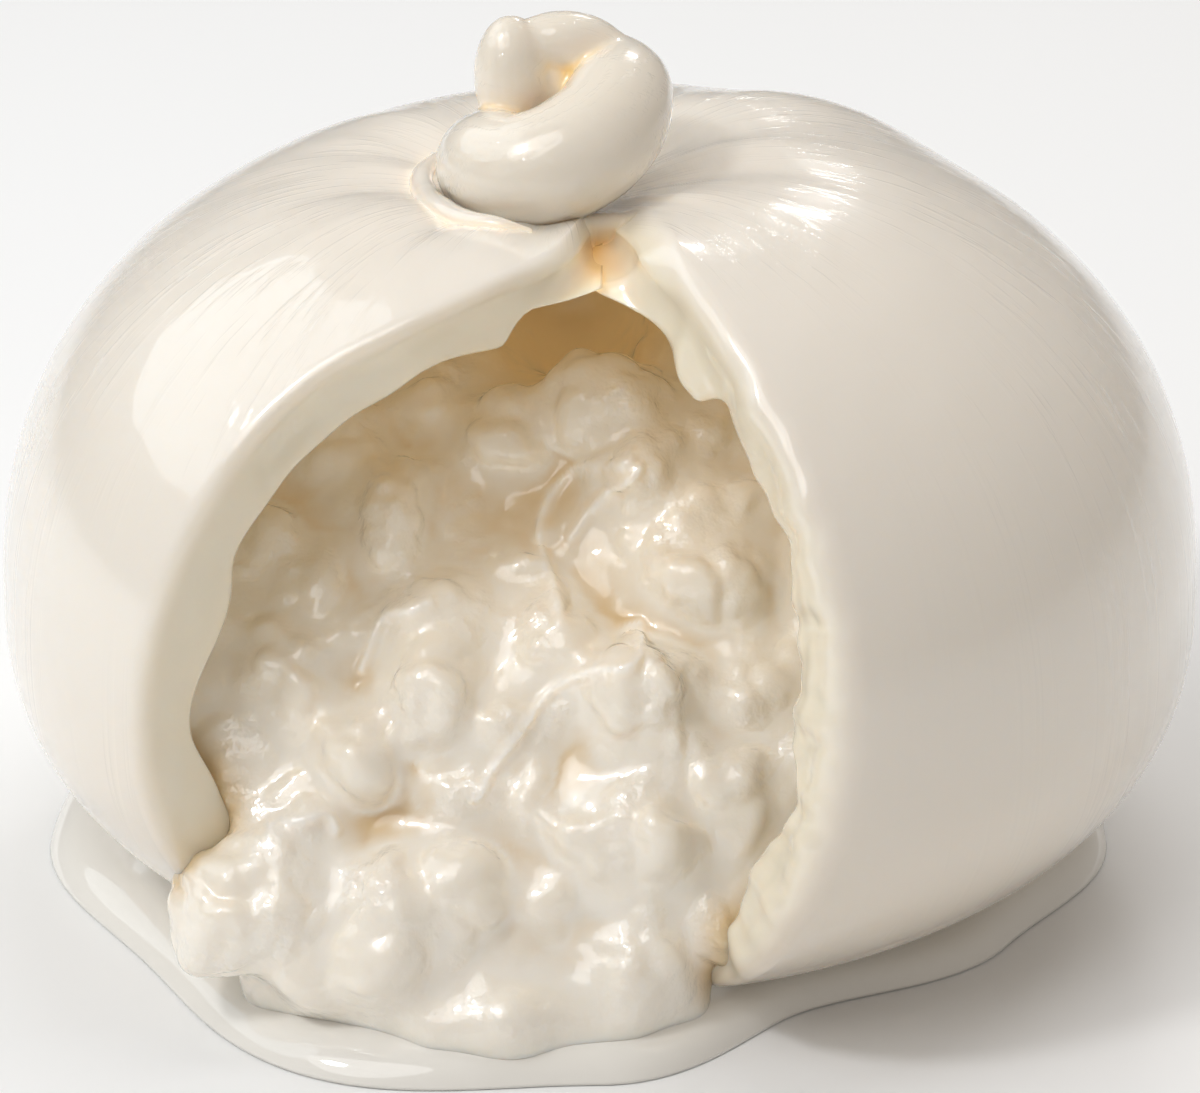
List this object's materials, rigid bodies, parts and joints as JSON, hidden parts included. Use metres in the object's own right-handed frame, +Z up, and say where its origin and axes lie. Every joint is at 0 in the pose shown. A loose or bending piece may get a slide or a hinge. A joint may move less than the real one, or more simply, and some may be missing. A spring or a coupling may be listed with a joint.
{
  "type": "cut-open burrata",
  "caption": "Tied pouch of stretched curd cut open at the front, with its soft curd and cream filling slumping out into a pool of cream.",
  "frame": {"origin": "on the table under the middle of the pouch", "axes": "+Z up, -Y towards the cut, +X to the right of the cut seen from the front"},
  "size_m": [0.0956, 0.0895, 0.0714],
  "materials": {
    "pouch_skin": "wet satin, ivory white",
    "stracciatella": "wet, lumpy, warm ivory",
    "cream": "glossy liquid cream"
  },
  "bodies": {
    "root": {"pouch": "pouch_skin", "filling": "stracciatella", "cream_pool": "cream"}
  },
  "joints": []
}
